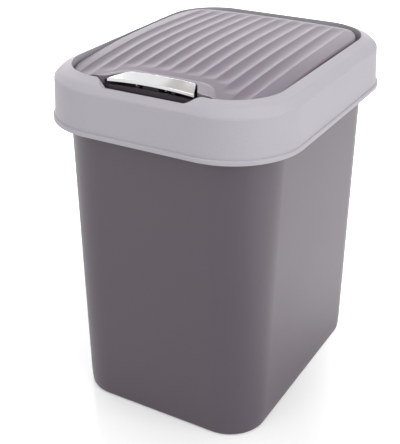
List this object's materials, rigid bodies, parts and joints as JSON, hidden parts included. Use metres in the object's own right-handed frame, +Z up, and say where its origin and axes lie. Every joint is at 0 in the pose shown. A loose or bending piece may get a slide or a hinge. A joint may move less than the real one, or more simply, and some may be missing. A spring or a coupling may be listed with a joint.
{
  "type": "push-top countertop bin",
  "caption": "Tapered rounded-rectangle bin with a lift-off collar, a fluted domed lid on a rear hinge and a plated rocking push button that frees the latch.",
  "frame": {"origin": "on the floor plane under the middle of the bin's bounding box", "axes": "+Z up, -Y to the front where the push button is, +Y to the hinge, +X to the bin's right-hand side seen from the front"},
  "size_m": [0.216, 0.265, 0.3069],
  "materials": {
    "body_plastic": "fine satin moulded polypropylene, dark lilac grey",
    "collar_plastic": "smooth satin moulded plastic, light grey",
    "lid_plastic": "satin moulded plastic with a slight pearl, lilac grey",
    "chrome_cap": "bright plated plastic",
    "dark_plastic": "dark moulded plastic",
    "acetal": "natural white moulded acetal",
    "pin_steel": "plain drawn wire and pins",
    "spring_steel": "spring wire"
  },
  "bodies": {
    "bucket": {"bin_body": "body_plastic"},
    "collar_ring": {"collar": "collar_plastic", "latch_keeper": "acetal", "hinge_pin_left": "pin_steel", "hinge_pin_right": "pin_steel", "hinge_spring_left": "spring_steel", "hinge_spring_right": "spring_steel"},
    "lid": {"lid_flap": "lid_plastic", "latch_housing": "dark_plastic", "housing_screw_left": "pin_steel", "housing_screw_right": "pin_steel", "lever_pin": "pin_steel", "lever_spring": "spring_steel"},
    "rocker": {"push_button": "chrome_cap", "latch_lever": "dark_plastic"}
  },
  "joints": [
    {"name": "collar_lift", "type": "slide", "parent": "bucket", "child": "collar_ring", "axis": [0, 0, 1], "range_m": [0, 0.08]},
    {"name": "lid_hinge", "type": "hinge", "parent": "collar_ring", "child": "lid", "pos_m": [0, 0.1, 0.298], "axis": [-1, 0, 0], "range_deg": [0, 72]},
    {"name": "button_push", "type": "hinge", "parent": "lid", "child": "rocker", "pos_m": [0, -0.1015, 0.299], "axis": [1, 0, 0], "range_deg": [0, 6], "stiffness_Nm_per_rad": 0.25, "springref_deg": -2.86}
  ]
}
